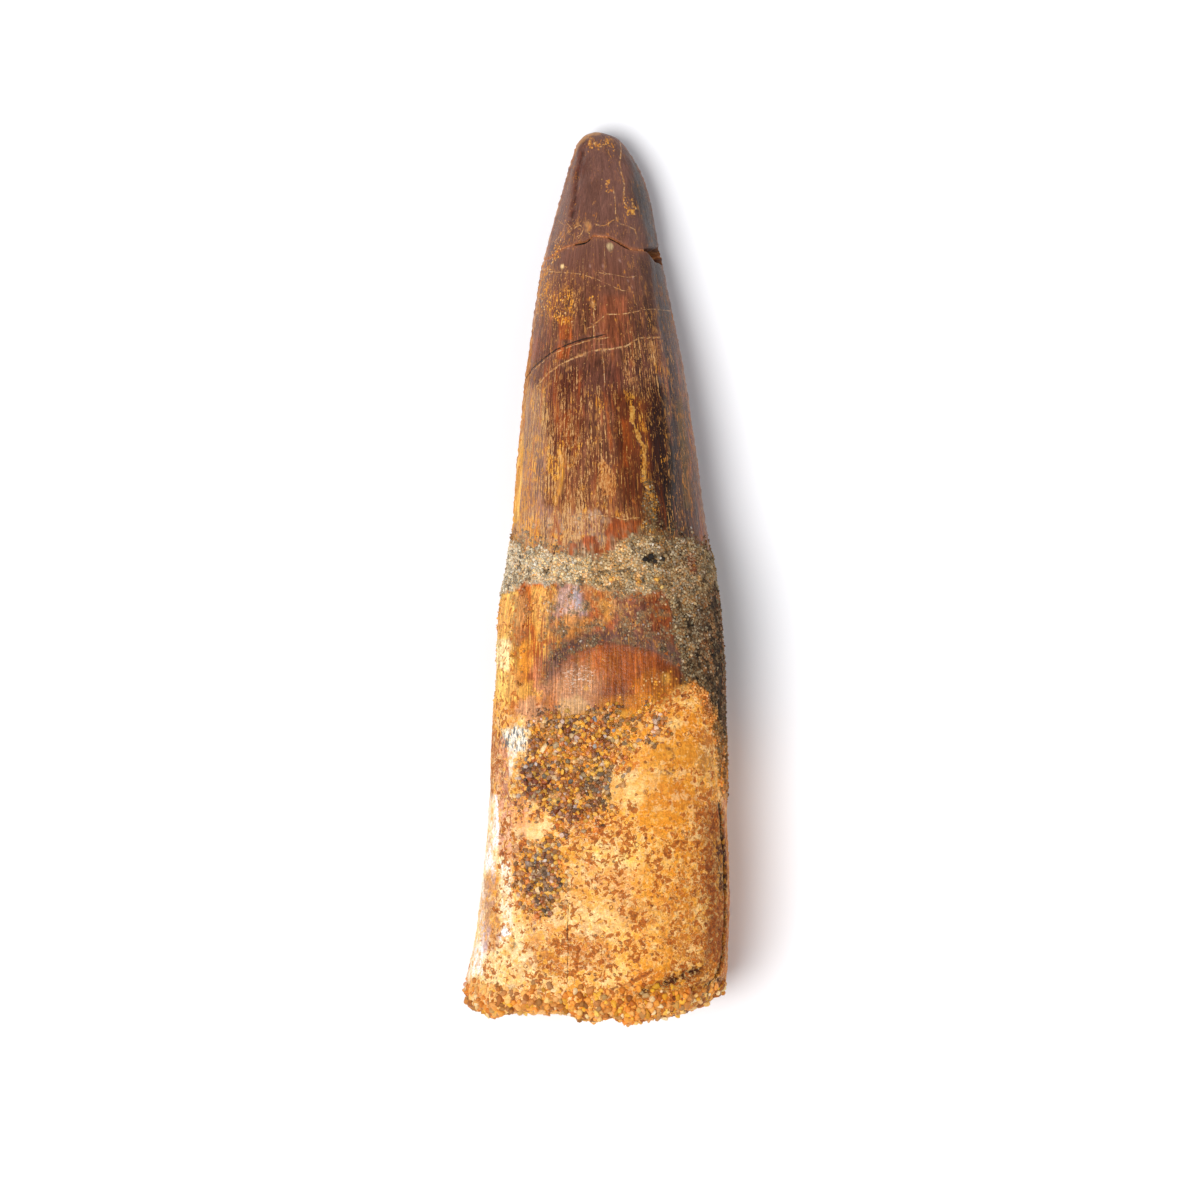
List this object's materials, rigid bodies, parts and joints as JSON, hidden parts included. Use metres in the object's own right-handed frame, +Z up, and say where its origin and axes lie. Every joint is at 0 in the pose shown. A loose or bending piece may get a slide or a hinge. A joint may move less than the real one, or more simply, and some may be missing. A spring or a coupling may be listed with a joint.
{
  "type": "fossil tooth",
  "caption": "Fossil dinosaur tooth lying on its side: glossy brown fluted crown, cream and rust root, grey cemented sand at the shoulder",
  "frame": {"origin": "middle of the bottom of the bounding box, on the surface that the tooth lies on", "axes": "+Y runs along the tooth from the broken root end to the point; +Z is up from the surface it lies on; +X is across the tooth to the right, looking along +Y"},
  "size_m": [0.0264, 0.0898, 0.0196],
  "materials": {
    "fossil_tooth": "satin"
  },
  "bodies": {
    "root": {"tooth": "fossil_tooth"}
  },
  "joints": []
}
